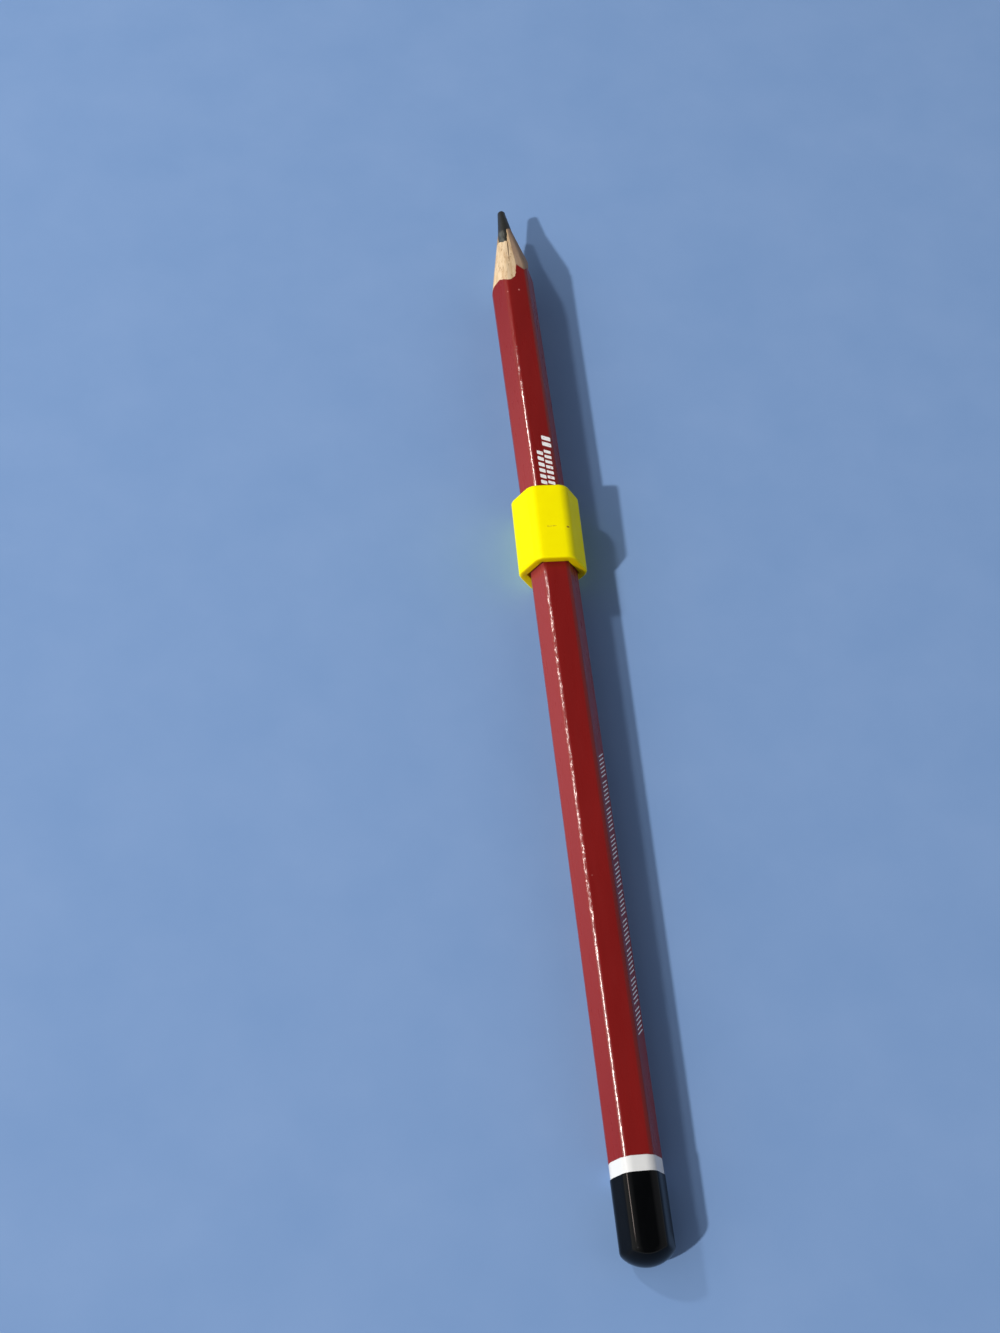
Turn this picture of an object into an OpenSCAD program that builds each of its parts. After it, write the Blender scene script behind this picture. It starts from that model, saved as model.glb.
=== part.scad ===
// Pencil extender: a short six-sided sleeve that joins a sharpened stub to a second pencil.
// Sizes are in millimetres. The pencils lie along Y and the sharpened point faces +Y.
// The origin is the middle of the sleeve's underside, which lies on the table.

/* [Pencils] */
// Width of a finished pencil from flat to flat
pencil_across_flats = 7; // [6.4:0.1:8]
// How far each long corner of a pencil is cut back from a sharp hexagon
pencil_corner_cut = 0.14; // [0.06:0.02:0.3]
// Thickness of the red lacquer
lacquer_thickness = 0.15; // [0.1:0.05:0.3]
// Diameter of the graphite core
core_diameter = 2.4; // [1.8:0.1:3]

/* [Sleeve] */
// Length of the sleeve
sleeve_length = 14.4; // [10:0.2:30]
// Wall of the sleeve at the middle of a flat
sleeve_wall = 1.4; // [0.8:0.1:3]
// How far each long corner of the sleeve is cut back from a sharp hexagon
sleeve_corner_cut = 0.2; // [0.1:0.05:0.5]
// Thickness of the web inside the sleeve that stops both pencils
stop_thickness = 1.2; // [0.8:0.2:3]
// Gap between a pencil and its socket on each side
socket_clearance = 0.25; // [0.15:0.05:0.5]
// Gap between the end of a pencil and the stop
stop_clearance = 0.1; // [0.05:0.05:0.3]

/* [Front stub] */
// Length of the stub in front of the sleeve
front_reach = 64; // [40:1:120]
// Diameter of the worn end of the lead
tip_diameter = 1.3; // [0.6:0.1:1.6]
// Length of the bare lead from its worn end to the wood
lead_point_length = 5.8; // [3:0.2:8]
// Slope of the cut wood behind the lead, in degrees from the axis
wood_cone_angle = 13.4; // [12:0.2:18]
// How far the cut point leans to one side, in degrees
point_lean = 1.6; // [0.4:0.2:2]

/* [Rear pencil] */
// Length of the rear pencil behind the sleeve
rear_reach = 112.3; // [60:0.5:165]
// How much the rounded rear end's radius exceeds the pencil's radius at its corners
rear_end_margin = 0.9; // [0.6:0.1:3]
// Length of the black dipped end
black_dip_length = 12.3; // [6:0.1:25]
// Width of the white band left showing in front of the black
white_band_width = 2.3; // [1:0.1:6]
// Thickness of each dipped coat of paint
dip_thickness = 0.06; // [0.04:0.02:0.2]

/* [Hidden] */
round_steps = 96;
hexagon_factor = 1 / cos(30);
core_radius = core_diameter / 2;
tip_radius = tip_diameter / 2;
tip_flat_share = 0.6;
tip_round_length = 0.25;

socket_across_flats = pencil_across_flats + 2 * socket_clearance;
sleeve_across_flats = socket_across_flats + 2 * sleeve_wall;
axis_height = sleeve_across_flats / 2;
sleeve_end = sleeve_length / 2;
pencil_butt = stop_thickness / 2 + stop_clearance;
cutting_margin = 1;

front_tip = sleeve_end + front_reach;
front_length = front_tip - pencil_butt;
cone_end = front_length + cutting_margin;
cone_end_radius = core_radius + (cone_end - lead_point_length) * tan(wood_cone_angle);

rear_end = -(sleeve_end + rear_reach);
wood_rear_end = rear_end + 2 * dip_thickness;
rear_length = -pencil_butt - wood_rear_end;
pencil_corner_radius = pencil_across_flats / 2 * hexagon_factor - pencil_corner_cut;
rear_end_radius = pencil_corner_radius + rear_end_margin;
end_centre = wood_rear_end + rear_end_radius;
end_cut_share = 0.75;
end_cut_depth = end_cut_share * rear_end_radius;
white_dip_front = rear_end + black_dip_length + white_band_width;
black_dip_front = rear_end + black_dip_length;
wood_across_flats = pencil_across_flats - 2 * lacquer_thickness;

// A hexagon with corners left and right, its corners cut back to an arc about its middle
module hexagon(across_flats, corner_cut) {
    corner_radius = across_flats / 2 * hexagon_factor;
    intersection() {
        circle(r = corner_radius, $fn = 6);
        circle(r = corner_radius - corner_cut, $fn = round_steps);
    }
}

// A flat shape drawn out along Y on the common axis
module along_axis(start, length) {
    translate([0, start + length, axis_height])
        rotate([90, 0, 0])
            linear_extrude(height = length)
                children();
}

// The wood section of a pencil, with the hole for its core
module wood_section() {
    difference() {
        hexagon(wood_across_flats, pencil_corner_cut);
        circle(r = core_radius, $fn = round_steps);
    }
}

// One half of the wood section: side is 1 for the upper slat and -1 for the lower one
module slat_section(side) {
    intersection() {
        wood_section();
        translate([-pencil_across_flats, side > 0 ? 0 : -pencil_across_flats])
            square([2 * pencil_across_flats, pencil_across_flats]);
    }
}

// The thin hexagonal ring of lacquer
module lacquer_section() {
    difference() {
        hexagon(pencil_across_flats, pencil_corner_cut);
        hexagon(wood_across_flats, pencil_corner_cut);
    }
}

// Everything the sharpener leaves: the worn lead, then the wider cone of the wood
module sharpened_space() {
    translate([0, front_tip, axis_height])
        rotate([0, 0, point_lean])
            rotate([90, 0, 0])
                rotate_extrude($fn = round_steps)
                    polygon([
                        [0, 0],
                        [tip_radius * tip_flat_share, 0],
                        [tip_radius, tip_round_length],
                        [core_radius, lead_point_length],
                        [cone_end_radius, cone_end],
                        [0, cone_end]
                    ]);
}

// A section of the front stub, cut by the sharpener
module front_length_of() {
    intersection() {
        along_axis(pencil_butt, front_length)
            children();
        sharpened_space();
    }
}

// What the rounded rear end takes away, grown by the paint that lies over the wood
module rear_rounding(coat) {
    block_width = 3 * pencil_across_flats;
    block_start = wood_rear_end - coat - cutting_margin;
    block_length = end_cut_depth + coat + cutting_margin;
    difference() {
        translate([-block_width / 2, block_start, axis_height - block_width / 2])
            cube([block_width, block_length, block_width]);
        translate([0, end_centre, axis_height])
            rotate([90, 0, 0])
                sphere(r = rear_end_radius + coat, $fn = round_steps);
    }
}

// A section of the rear pencil, with its end rounded
module rear_length_of() {
    difference() {
        along_axis(wood_rear_end, rear_length)
            children();
        rear_rounding(0);
    }
}

// The solid rear end of the pencil as far as a dip line, grown by the paint that lies over the lacquer
module dipped_solid(dip_front, coat) {
    start = wood_rear_end - coat;
    difference() {
        along_axis(start, dip_front - start)
            hexagon(pencil_across_flats + 2 * coat, pencil_corner_cut);
        rear_rounding(coat);
    }
}

// A coat of paint over the rear end: layer is 1 for the first dip and 2 for the second
module dip_coat(dip_front, layer) {
    difference() {
        dipped_solid(dip_front, layer * dip_thickness);
        dipped_solid(dip_front + cutting_margin, (layer - 1) * dip_thickness);
    }
}

module coupling_sleeve() {
    socket_length = sleeve_end - stop_thickness / 2 + cutting_margin;
    color([0.95, 0.87, 0.02])
        difference() {
            along_axis(-sleeve_end, sleeve_length)
                hexagon(sleeve_across_flats, sleeve_corner_cut);
            along_axis(stop_thickness / 2, socket_length)
                circle(r = socket_across_flats / 2 * hexagon_factor, $fn = 6);
            along_axis(-stop_thickness / 2 - socket_length, socket_length)
                circle(r = socket_across_flats / 2 * hexagon_factor, $fn = 6);
        }
}

module front_core() {
    color([0.22, 0.22, 0.23])
        front_length_of()
            circle(r = core_radius, $fn = round_steps);
}

module front_upper_slat() {
    color([0.86, 0.72, 0.52])
        front_length_of()
            slat_section(1);
}

module front_lower_slat() {
    color([0.82, 0.67, 0.47])
        front_length_of()
            slat_section(-1);
}

module front_lacquer() {
    color([0.5, 0.08, 0.08])
        front_length_of()
            lacquer_section();
}

module rear_core() {
    color([0.22, 0.22, 0.23])
        rear_length_of()
            circle(r = core_radius, $fn = round_steps);
}

module rear_upper_slat() {
    color([0.86, 0.72, 0.52])
        rear_length_of()
            slat_section(1);
}

module rear_lower_slat() {
    color([0.82, 0.67, 0.47])
        rear_length_of()
            slat_section(-1);
}

module rear_lacquer() {
    color([0.5, 0.08, 0.08])
        rear_length_of()
            lacquer_section();
}

module rear_white_dip() {
    color([0.92, 0.92, 0.9])
        dip_coat(white_dip_front, 1);
}

module rear_black_dip() {
    color([0.03, 0.03, 0.035])
        dip_coat(black_dip_front, 2);
}

coupling_sleeve();
front_core();
front_upper_slat();
front_lower_slat();
front_lacquer();
rear_core();
rear_upper_slat();
rear_lower_slat();
rear_lacquer();
rear_white_dip();
rear_black_dip();
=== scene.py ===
# %% [markdown]
# # A pencil extender
# A short six-sided plastic sleeve holds two pencils end to end. In front is a sharpened stub, behind it
# a longer pencil with a white band and a black dipped end. The CAD model gives the solids and the two
# slides. Here every visible skin is modelled again with its soft edges, chips and paint, in the CAD
# model's own frame: the pencils lie along Y and the point faces +Y. Blender counts in metres, so sizes
# are written in millimetres and multiplied by MM. The loaded model's box gives both ends and the height
# of the pencils' axis.

# %% Load the CAD model as a fixed frame
import math

import bmesh
import bpy
from mathutils import Matrix, Vector


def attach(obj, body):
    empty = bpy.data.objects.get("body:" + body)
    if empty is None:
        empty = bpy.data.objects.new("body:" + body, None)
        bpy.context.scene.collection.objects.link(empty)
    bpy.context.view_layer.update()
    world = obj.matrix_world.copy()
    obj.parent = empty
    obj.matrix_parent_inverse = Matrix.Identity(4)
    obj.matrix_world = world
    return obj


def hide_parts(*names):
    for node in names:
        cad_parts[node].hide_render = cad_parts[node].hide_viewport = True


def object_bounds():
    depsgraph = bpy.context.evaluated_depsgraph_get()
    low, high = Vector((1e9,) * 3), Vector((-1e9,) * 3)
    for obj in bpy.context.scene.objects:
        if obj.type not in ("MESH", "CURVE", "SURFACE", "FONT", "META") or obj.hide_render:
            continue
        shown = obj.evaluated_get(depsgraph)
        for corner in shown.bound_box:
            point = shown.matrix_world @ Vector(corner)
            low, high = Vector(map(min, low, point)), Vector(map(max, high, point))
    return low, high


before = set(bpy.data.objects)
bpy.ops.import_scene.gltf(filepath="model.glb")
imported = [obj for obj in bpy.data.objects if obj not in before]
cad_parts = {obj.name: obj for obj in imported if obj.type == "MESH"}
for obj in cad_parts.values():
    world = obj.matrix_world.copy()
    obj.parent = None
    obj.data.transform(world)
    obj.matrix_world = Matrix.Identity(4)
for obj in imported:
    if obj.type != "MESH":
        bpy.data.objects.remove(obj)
cad_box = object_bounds()
MM = 0.001


def box_in_mm(box):
    """Both corners of a box in millimetres, rounded for printing."""
    return [[round(value / MM, 2) for value in corner] for corner in box]


cad_low, cad_high = box_in_mm(cad_box)
print("CAD nodes:", ", ".join(sorted(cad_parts)))
print("CAD box in mm:", cad_low, cad_high)

# %% [markdown]
# ## The camera
# The photograph looks down at the table from behind the black end, so the black end is nearest and the
# point is furthest away. A camera could be moved by eye until the picture fits. Here outlines traced on
# the photograph gave the slope of the view, its turn, its roll and the distance, and entering those
# numbers is easier to check and to repeat.

# %% Place the camera
axis_height = cad_high[2] / 2
view_down = math.radians(60.147)
view_turn = math.radians(12.377)
view_roll = math.radians(7.387)
view_distance = 319.614
aim_point = Vector((-10.706, -23.958, axis_height))
focal_length_px = 2002
picture_height_px = 1333
sensor_width = 36
nearest_shown = 10
quarter_turn = math.radians(90)

camera_turn = (
    Matrix.Rotation(-view_turn, 3, "Z")
    @ Matrix.Rotation(quarter_turn - view_down, 3, "X")
    @ Matrix.Rotation(view_roll, 3, "Z")
)
backwards = camera_turn @ Vector((0, 0, 1))
bpy.ops.object.camera_add(
    location=(aim_point + backwards * view_distance) * MM, rotation=camera_turn.to_euler()
)
camera = bpy.context.object
camera.name = "photo_camera"
camera.data.sensor_width = sensor_width
camera.data.lens = sensor_width * focal_length_px / picture_height_px
camera.data.clip_start = nearest_shown * MM
bpy.context.scene.camera = camera
print("camera at", [round(value / MM, 1) for value in camera.location], "lens", round(camera.data.lens, 2))

# %% [markdown]
# ## Selecting
# Operators act on whatever is selected, and the CAD nodes are selected once they are loaded. So each piece
# starts by letting go of the rest, and edges are picked by a test on their place. A few helpers keep that
# readable.

# %% Helpers for selecting


def let_go():
    """Leave edit mode and deselect everything, the loaded CAD nodes too."""
    if bpy.context.object and bpy.context.object.mode != "OBJECT":
        bpy.ops.object.mode_set(mode="OBJECT")
    bpy.ops.object.select_all(action="DESELECT")


def take_up(piece):
    """Make one piece the selected and active object."""
    let_go()
    piece.select_set(True)
    bpy.context.view_layer.objects.active = piece


def edit(piece):
    """Open a piece in edit mode with nothing selected, picking by edges."""
    take_up(piece)
    bpy.ops.object.mode_set(mode="EDIT")
    bpy.ops.mesh.select_mode(type="EDGE")
    bpy.ops.mesh.select_all(action="DESELECT")


def pick_edges(piece, wanted):
    """In edit mode, select the edges that pass a test and no others."""
    mesh = bmesh.from_edit_mesh(piece.data)
    for edge in mesh.edges:
        edge.select_set(wanted(edge))
    bmesh.update_edit_mesh(piece.data)


# %% [markdown]
# ## Six-sided rings
# The sleeve and both pencils are long six-sided bars. A cylinder with six corners would be quick, but its
# edges would be sharp and its width the same all along. So every bar starts as a circle with six corners
# across the axis. A bevel eases the corners, and the ring is then drawn out along Y, ring by ring, each
# one as wide as it has to be there.

# %% Helpers for six-sided rings
sides = 6
half_corner = math.radians(180 / sides)
corner_steps = 8
flat_cuts = 5
least_flat = 1 / 3
# Profiles for the bevel: a round edge and a nearly flat one
rounded = 0.5
flattened = 0.36


def disc_across_axis(name, corners, radius, y, roll=0):
    """Start a piece as a filled disc across the axis, in edit mode and selected all over."""
    let_go()
    bpy.ops.mesh.primitive_circle_add(
        vertices=corners,
        radius=radius * MM,
        fill_type="NGON",
        location=(0, y * MM, axis_height * MM),
        rotation=(quarter_turn, roll, 0),
    )
    bpy.ops.object.transform_apply(location=True, rotation=True, scale=True)
    piece = bpy.context.object
    piece.name = piece.data.name = name
    bpy.ops.object.mode_set(mode="EDIT")
    bpy.ops.mesh.select_all(action="SELECT")
    return piece


def six_sided_ring(name, across_flats, edge_reach, edge_profile, y):
    """Start a piece as an open six-sided ring across the axis, in edit mode.

    Each corner is eased from edge_reach before it to as far behind it, rounded or flattened. The flats,
    known by their length, are then divided.
    """
    piece = disc_across_axis(name, sides, across_flats / 2 / math.cos(half_corner), y, half_corner)
    bpy.ops.mesh.bevel(
        offset=edge_reach * MM, segments=corner_steps, profile=edge_profile, affect="VERTICES"
    )
    bpy.ops.mesh.delete(type="ONLY_FACE")
    bpy.ops.mesh.select_mode(type="EDGE")
    side = across_flats * math.tan(half_corner) * MM
    pick_edges(piece, lambda edge: edge.calc_length() > least_flat * side)
    bpy.ops.mesh.subdivide(number_cuts=flat_cuts)
    bpy.ops.mesh.select_all(action="SELECT")
    return piece


def squeeze(ratio):
    """Scale the selection towards the pencils' axis."""
    bpy.ops.transform.resize(value=(ratio, 1, ratio), center_override=(0, 0, axis_height * MM))


def draw_out(stations, extrude=bpy.ops.mesh.extrude_edges_move):
    """Extrude the selection through stations of (y, half width); it is itself the first of them."""
    for (y_before, half_before), (y, half) in zip(stations, stations[1:]):
        extrude(TRANSFORM_OT_translate={"value": (0, (y - y_before) * MM, 0)})
        squeeze(half / half_before)


# %% [markdown]
# ## Joining and closing
# A tube has an outside and an inside. They are drawn out as two pieces, joined, and bridged at their ends.
# One end ring lies a little deeper than the other, because two rings in one plane can be bridged askew.
# Every piece then has its doubled points merged and its faces turned outwards, and a printed line says
# whether it is closed.

# %% Helpers for joining and closing
bridge_dip = 0.02
ring_tolerance = 0.05
merge_distance = 0.0002
crisp_angle = 40


def bridge_at(piece, y):
    """Close the gap between the two open rings that lie near y."""

    def on_open_ring(edge):
        near_y = all(abs(vertex.co.y - y * MM) < ring_tolerance * MM for vertex in edge.verts)
        return edge.is_boundary and near_y

    pick_edges(piece, on_open_ring)
    bpy.ops.mesh.bridge_edge_loops()


def join_as_one(main, *others):
    """Join other pieces into the first."""
    take_up(main)
    for other in others:
        other.select_set(True)
    bpy.ops.object.join()
    return main


def close_and_turn_out(piece):
    """Merge doubled points and turn every face outwards."""
    edit(piece)
    bpy.ops.mesh.select_all(action="SELECT")
    bpy.ops.mesh.remove_doubles(threshold=merge_distance * MM)
    bpy.ops.mesh.normals_make_consistent(inside=False)
    bpy.ops.object.mode_set(mode="OBJECT")


def apply_modifier(piece, kind, **settings):
    """Add one modifier, set it and apply it."""
    take_up(piece)
    modifier = piece.modifiers.new(kind.lower(), kind)
    for setting, value in settings.items():
        setattr(modifier, setting, value)
    bpy.ops.object.modifier_apply(modifier=modifier.name)


def smooth_over(piece, degrees=crisp_angle):
    """Shade edges softer than an angle as smooth, and let the large flats keep their own direction."""
    take_up(piece)
    bpy.ops.object.shade_smooth_by_angle(angle=math.radians(degrees))
    apply_modifier(piece, "WEIGHTED_NORMAL", keep_sharp=True)


def report(piece):
    """Print a piece's size and whether its mesh is closed."""
    mesh = bmesh.new()
    mesh.from_mesh(piece.data)
    loose = sum(1 for edge in mesh.edges if len(edge.link_faces) != 2)
    volume = mesh.calc_volume(signed=True) / MM**3
    triangles = sum(len(face.verts) - 2 for face in mesh.faces)
    mesh.free()
    size = [round(value / MM, 3) for value in piece.dimensions]
    print(f"{piece.name}: {size} mm, {triangles} triangles, {loose} open edges, {volume:.2f} mm3")


# %% [markdown]
# ## The printed sleeve
# The sleeve is printed standing up, in thin layers, and its long edges are well rounded. It could be one
# hexagonal tube with a bump map, but then its outline and its exported mesh would be smooth. So the outer
# wall is drawn out layer by layer, with a tiny waist between layers and a rounded lip at each mouth.

# %% Plan the sleeve's outer wall
sleeve_end = 7.2
sleeve_half = axis_height
layer_height = 0.2
layer_waist = 0.012
lip_round = 0.42
lip_steps = 5


def lip_station(step):
    """One ring of the rounded lip at the rear mouth, as (y, half width)."""
    angle = quarter_turn * step / lip_steps
    y = -sleeve_end + lip_round * (1 - math.cos(angle))
    return y, sleeve_half - lip_round * (1 - math.sin(angle))


def sleeve_stations():
    """Rings of the outer wall from the rear mouth to the front one."""
    lip = [lip_station(step) for step in range(lip_steps + 1)]
    first_layer = -sleeve_end + lip_round
    layers = round((2 * sleeve_end - 2 * lip_round) / layer_height)
    wall = []
    for layer in range(layers):
        start = first_layer + layer * layer_height
        wall.append((start + layer_height / 2, sleeve_half))
        wall.append((start + layer_height, sleeve_half - layer_waist))
    wall[-1] = (wall[-1][0], sleeve_half)
    front_lip = [(-y, half) for y, half in reversed(lip)]
    return lip + wall + front_lip[1:]


outer_rings = sleeve_stations()
print("outer wall:", len(outer_rings), "rings")

# %% [markdown]
# The two sockets are separate rings drawn inwards to the stop between them, and the mouths are bridged. A
# boolean cut would do as well, but would leave long thin faces round each mouth. The loose sockets let the
# sleeve sit a little askew and to the left, so the whole mesh is turned and set over in the end.

# %% Model the sleeve
sleeve_edge_reach = 1.05
socket_half = 3.75
socket_edge_reach = 0.17
socket_lead_in = 0.12
stop_half = 0.6
sleeve_turn = math.radians(0.8)
set_over = -0.035

first_y, first_half = outer_rings[0]
sleeve = six_sided_ring("printed_sleeve", 2 * first_half, sleeve_edge_reach, rounded, first_y)
draw_out(outer_rings)
sockets = []
for side in (-1, 1):
    mouth = socket_half + socket_lead_in
    mouth_y = side * (sleeve_end - bridge_dip)
    socket = six_sided_ring("socket", 2 * mouth, socket_edge_reach, rounded, mouth_y)
    draw_out(
        [
            (mouth_y, mouth),
            (side * (sleeve_end - socket_lead_in), socket_half),
            (side * stop_half, socket_half),
        ]
    )
    bpy.ops.mesh.edge_face_add()
    sockets.append(socket)
join_as_one(sleeve, *sockets)
edit(sleeve)
for side in (-1, 1):
    bridge_at(sleeve, side * sleeve_end)
close_and_turn_out(sleeve)
sleeve_seat = Matrix.Translation((set_over * MM, 0, 0)) @ Matrix.Rotation(-sleeve_turn, 4, "Z")
sleeve.data.transform(sleeve_seat)
smooth_over(sleeve)
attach(sleeve, "sleeve")
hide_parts("coupling_sleeve")
report(sleeve)

# %% [markdown]
# ## How the stub sits
# The socket is a loose fit and the stub has settled in it: it is turned a little about its own axis and
# points slightly to the left. The CAD model keeps it straight. Finished pieces could be turned one by one,
# but here every bar of the stub is settled before it is cut, because the cut and the broken places were
# measured where they lie on the photograph.

# %% Settle the stub
front_tip = cad_high[1]
stub_roll = math.radians(6)
stub_swing = math.radians(0.43)
socket_middle = 4

to_socket_middle = Matrix.Translation(Vector((0, socket_middle, axis_height)) * MM)
stub_turn = Matrix.Rotation(stub_swing, 4, "Z") @ Matrix.Rotation(stub_roll, 4, "Y")
settled = to_socket_middle @ stub_turn @ to_socket_middle.inverted()
tip_point = Vector((0, front_tip, axis_height)) * MM
print("tip settled at", [round(value, 2) for value in (settled @ tip_point) / MM])

# %% [markdown]
# ## What the sharpener leaves
# Lead, wood and paint of the stub all end on one cut, made by a sharpener that leaned a little to one
# side. Each could be drawn with its own cone, but the cones would have to agree. So the cut is modelled
# once, as a solid turned about its own axis: a worn tip, the slope of the lead and the slope of the wood.
# Each piece of the stub is then intersected with it, which also gives the scalloped paint line of its own
# accord. It is a tool, so it goes away again at the end.

# %% Model the sharpened space
tip_radius = 0.66
lead_radius = 1.3
bare_lead = 5.1
wood_slope = math.radians(12.6)
point_lean = math.radians(2.1)
tip_offset = -0.1
past_butt = 72
turning_steps = 144


def turned_solid(name, stations):
    """A closed solid about the pencils' axis through stations of (y, radius)."""
    first_y, first_radius = stations[0]
    piece = disc_across_axis(name, turning_steps, first_radius, first_y)
    draw_out(stations, bpy.ops.mesh.extrude_region_move)
    close_and_turn_out(piece)
    return piece


# Each station is a distance from the tip and a radius
worn_tip = [(0, 0.3), (0.04, 0.46), (0.13, 0.58), (0.28, tip_radius)]
cut_end_radius = lead_radius + (past_butt - bare_lead) * math.tan(wood_slope)
cut_profile = worn_tip + [(bare_lead, lead_radius), (past_butt, cut_end_radius)]
sharpened_space = turned_solid(
    "sharpened_space", [(front_tip - distance, radius) for distance, radius in cut_profile]
)
to_tip = Matrix.Translation(tip_point)
lean = to_tip @ Matrix.Rotation(point_lean, 4, "Z") @ to_tip.inverted()
sharpened_space.data.transform(settled @ Matrix.Translation((tip_offset * MM, 0, 0)) @ lean)
report(sharpened_space)

# %% [markdown]
# ## The lead of the stub
# The lead is a thin round rod, worn flat at its end. Only its point shows, and a little of its uncut side
# where a chip of wood has broken away. A rod intersected with the sharpened space has exactly that shape,
# which a cone drawn for the point alone wouldn't have.

# %% Model the stub's lead
pencil_butt = 0.7
end_wear = 0.02


def carve(piece, operation, tool):
    """Cut a piece with a tool: INTERSECT keeps what lies inside it and DIFFERENCE what lies outside."""
    apply_modifier(piece, "BOOLEAN", operation=operation, object=tool, solver="EXACT")


lead = turned_solid("stub_lead", [(pencil_butt, lead_radius), (front_tip - end_wear, lead_radius)])
lead.data.transform(settled)
carve(lead, "INTERSECT", sharpened_space)
close_and_turn_out(lead)
smooth_over(lead)
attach(lead, "front_pencil")
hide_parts("front_core")
report(lead)

# %% [markdown]
# ## Where wood is missing
# On the upper left a sliver of wood has broken off beside the lead, with a crack behind it, and on the
# right the blade went deeper. Sculpting could show that too, but small ragged blocks, drawn in plan and
# drawn up to a height, take away exactly what the photograph shows missing.

# %% Blocks for the broken wood


def ragged_block(name, outline, low, high):
    """A solid with a given outline in plan, between two heights above the axis."""
    let_go()
    bpy.ops.mesh.primitive_circle_add(vertices=len(outline), radius=MM, fill_type="NGON")
    piece = bpy.context.object
    piece.name = piece.data.name = name
    for vertex, (x, y) in zip(piece.data.vertices, outline):
        vertex.co = Vector((x, y, axis_height + low)) * MM
    bpy.ops.object.mode_set(mode="EDIT")
    bpy.ops.mesh.select_all(action="SELECT")
    bpy.ops.mesh.extrude_region_move(TRANSFORM_OT_translate={"value": (0, 0, (high - low) * MM)})
    close_and_turn_out(piece)
    print(f"{name}: {len(outline)} corners in plan, {high - low:.2f} mm high")
    return piece


broken_wood_outline = [
    (-0.18, 66.9), (-0.26, 65.5), (-0.2, 64.9), (-0.36, 64.1), (-0.4, 63.2), (-0.55, 62.65),
    (-0.9, 62.8), (-1.2, 62.6), (-1.5, 62.85), (-1.85, 63.1), (-2.7, 63.4), (-2.7, 66.9),
]
broken_wood = ragged_block("broken_wood", broken_wood_outline, low=0.05, high=3)
wood_crack_outline = [
    (-0.33, 63.3), (-0.56, 63.3), (-0.62, 61.6), (-0.7, 60), (-0.76, 56.7), (-0.57, 59.4), (-0.42, 61.4),
]
wood_crack = ragged_block("wood_crack", wood_crack_outline, low=1.4, high=3.6)
deeper_cut_outline = [
    (2.95, 60), (2.9, 58.4), (2.82, 57.2), (2.7, 56.3), (2.66, 55.75),
    (2.95, 55.2), (3.3, 54.6), (3.55, 54.2), (4.5, 54), (4.5, 60),
]
deeper_cut = ragged_block("deeper_cut", deeper_cut_outline, low=-4.5, high=4.5)

# %% [markdown]
# ## The wood of the stub
# A pencil is two grooved slats glued round the lead. The wood could be one bar, since the glue line hardly
# shows, but the CAD model has both slats and each has its own grain. So a six-sided bar is split at the
# glue line, once for each slat. Each half is cut by the sharpened space, bored for the lead and chipped.

# %% Model both slats
pencil_half = 3.5
pencil_edge_reach = 0.5
lacquer = 0.15
wood_half = pencil_half - lacquer
wood_front = 69
split_tolerance = 0.0001
bore_start = -1
bore_overrun = 2


def bare_slat(name, upper, missing):
    """The upper or the lower half of the sharpened bar, less what is missing."""
    slat = six_sided_ring(name, 2 * wood_half, pencil_edge_reach, flattened, pencil_butt)
    bpy.ops.mesh.edge_face_add()
    bpy.ops.mesh.extrude_region_move(
        TRANSFORM_OT_translate={"value": (0, (wood_front - pencil_butt) * MM, 0)}
    )
    edit(slat)
    bpy.ops.mesh.select_all(action="SELECT")
    bpy.ops.mesh.bisect(
        plane_co=(0, 0, axis_height * MM),
        plane_no=(0, 0, 1),
        threshold=split_tolerance * MM,
        use_fill=True,
        clear_inner=upper,
        clear_outer=not upper,
    )
    close_and_turn_out(slat)
    slat.data.transform(settled)
    carve(slat, "INTERSECT", sharpened_space)
    for block in missing:
        carve(slat, "DIFFERENCE", block)
    close_and_turn_out(slat)
    smooth_over(slat)
    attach(slat, "front_pencil")
    report(slat)
    return slat


bore_end = front_tip + bore_overrun
lead_bore = turned_solid("lead_bore", [(bore_start, lead_radius), (bore_end, lead_radius)])
lead_bore.data.transform(settled)
upper_wood = bare_slat("stub_upper_wood", True, (lead_bore, deeper_cut, broken_wood, wood_crack))
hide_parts("front_upper_slat")
lower_wood = bare_slat("stub_lower_wood", False, (lead_bore, deeper_cut))
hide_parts("front_lower_slat")

# %% [markdown]
# ## Where paint is missing
# The sharpened space cuts the paint to a clean scalloped line. On the upper left a flake has broken off
# behind that line, which leaves it stepped, and right of the flake the paint has worn back to a point. A
# mask in the colour could show that. With more ragged blocks the line is a true edge of the mesh.

# %% Blocks for the flaked and worn paint
flaked_lacquer_outline = [
    (0.35, 57.5), (0.3, 55.9), (0.2, 55.4), (0.16, 54.9), (0.04, 54.5), (0.1, 54.0),
    (-0.1, 53.6), (-0.2, 53.15), (-0.6, 52.85), (-0.95, 52.5), (-1.57, 52.35), (-2.0, 52.55),
    (-2.4, 52.8), (-2.9, 53.3), (-3.5, 53.0), (-4.0, 52.75), (-4.6, 52.4), (-4.6, 57.5),
]
flaked_lacquer = ragged_block("flaked_lacquer", flaked_lacquer_outline, low=-0.3, high=5)
worn_lacquer_outline = [
    (0.3, 58.5), (0.3, 55.9), (0.94, 55.32), (1.3, 55.0), (1.6, 54.76), (1.95, 55.1), (2.3, 55.6),
    (2.6, 55.85), (2.75, 55.65), (3.3, 54.7), (3.6, 54.2), (4.5, 54), (4.5, 58.5),
]
worn_lacquer = ragged_block("worn_lacquer", worn_lacquer_outline, low=-1, high=5)

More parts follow.
